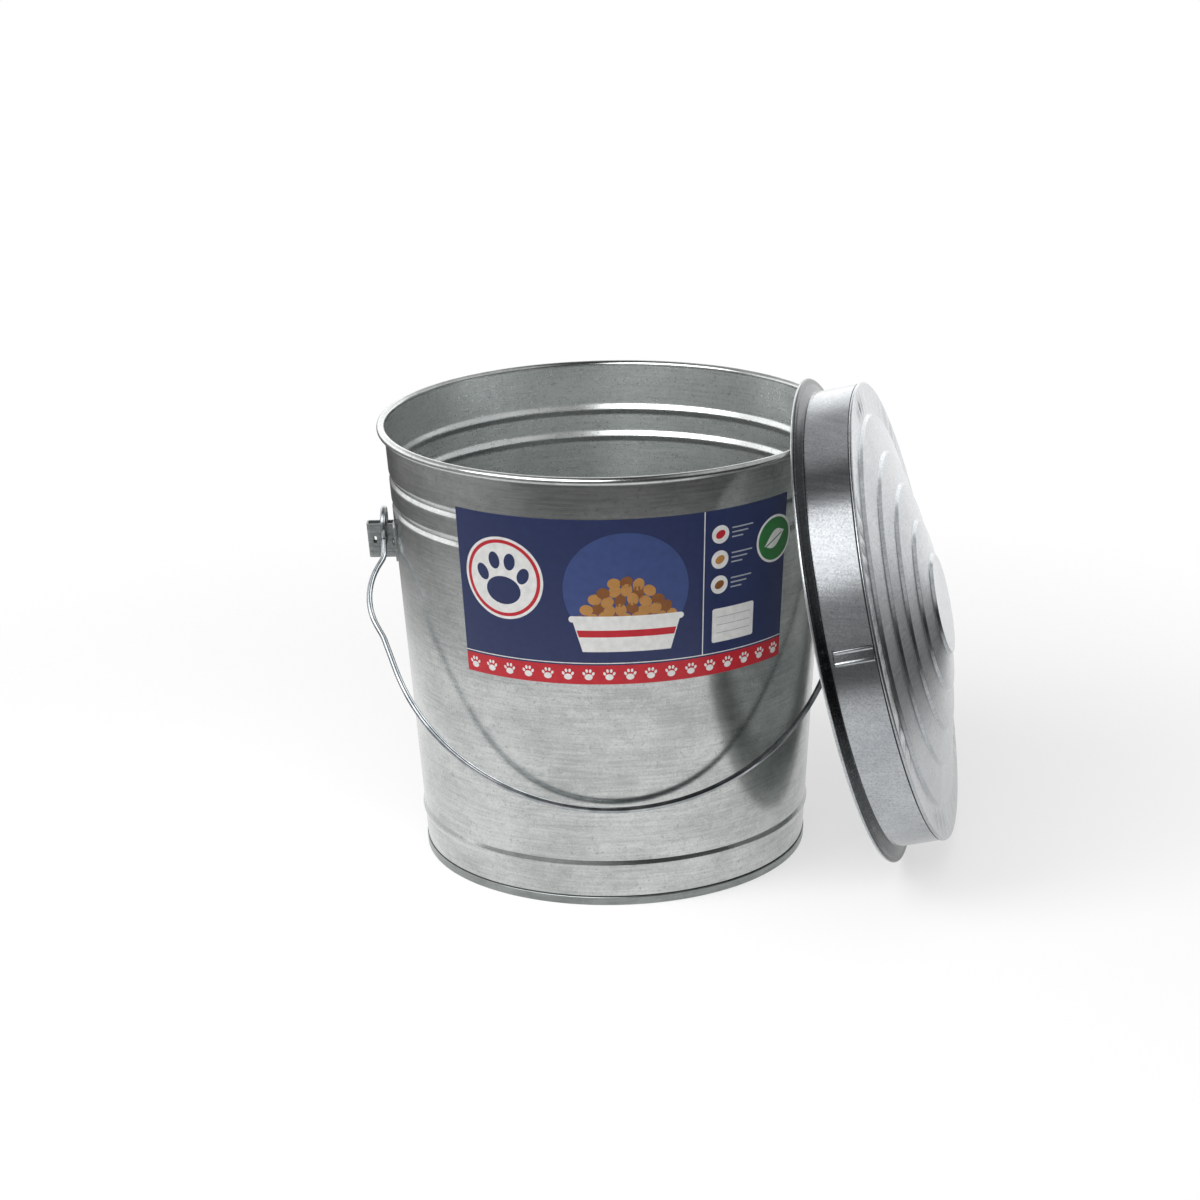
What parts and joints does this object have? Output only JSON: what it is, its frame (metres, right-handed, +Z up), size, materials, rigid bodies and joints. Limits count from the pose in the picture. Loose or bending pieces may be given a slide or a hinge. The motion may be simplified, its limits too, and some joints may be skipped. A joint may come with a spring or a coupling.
{
  "type": "pet food can",
  "caption": "Tapered galvanised steel can for dry pet food, with a rolled rim, a swinging wire bail on riveted ears, a printed front label and a ring-beaded lid leaning beside it.",
  "frame": {"origin": "on the floor, at the centre of the can's bottom seam", "axes": "+Z up along the can's axis, -Y towards the front label, +X towards the right ear and the leaning lid"},
  "size_m": [0.5232, 0.4466, 0.4152],
  "materials": {
    "galvanised_sheet": "galvanised, satin with fine spangle",
    "ear_steel": "galvanised, mottled",
    "rivet_steel": "zinc plated",
    "wire_steel": "bright galvanised wire",
    "label_print": "printed film, semi-gloss",
    "sticker_print": "printed film, semi-gloss"
  },
  "bodies": {
    "can": {"body_wall": "galvanised_sheet", "rim_wire": "wire_steel", "bottom_pan": "galvanised_sheet", "left_ear": "ear_steel", "right_ear": "ear_steel", "left_ear_rivets": "rivet_steel", "right_ear_rivets": "rivet_steel", "front_label": "label_print", "round_sticker": "sticker_print"},
    "bail": {"bail_handle": "wire_steel"},
    "lid": {"lid_top": "galvanised_sheet", "lid_skirt": "galvanised_sheet", "lid_edge_wire": "wire_steel"}
  },
  "joints": [
    {"name": "bail_swing", "type": "hinge", "parent": "can", "child": "bail", "pos_m": [0, 0, 0.292], "axis": [-1, 0, 0], "range_deg": [0, 275]},
    {"name": "lid_draw", "type": "slide", "parent": "can", "child": "lid", "axis": [0.9839, -0.1788, 0], "range_m": [0, 0.4]}
  ],
  "couplings": [
    {"joint": "lid_draw", "follows": "bail_swing", "m_per_rad": 0.083}
  ]
}
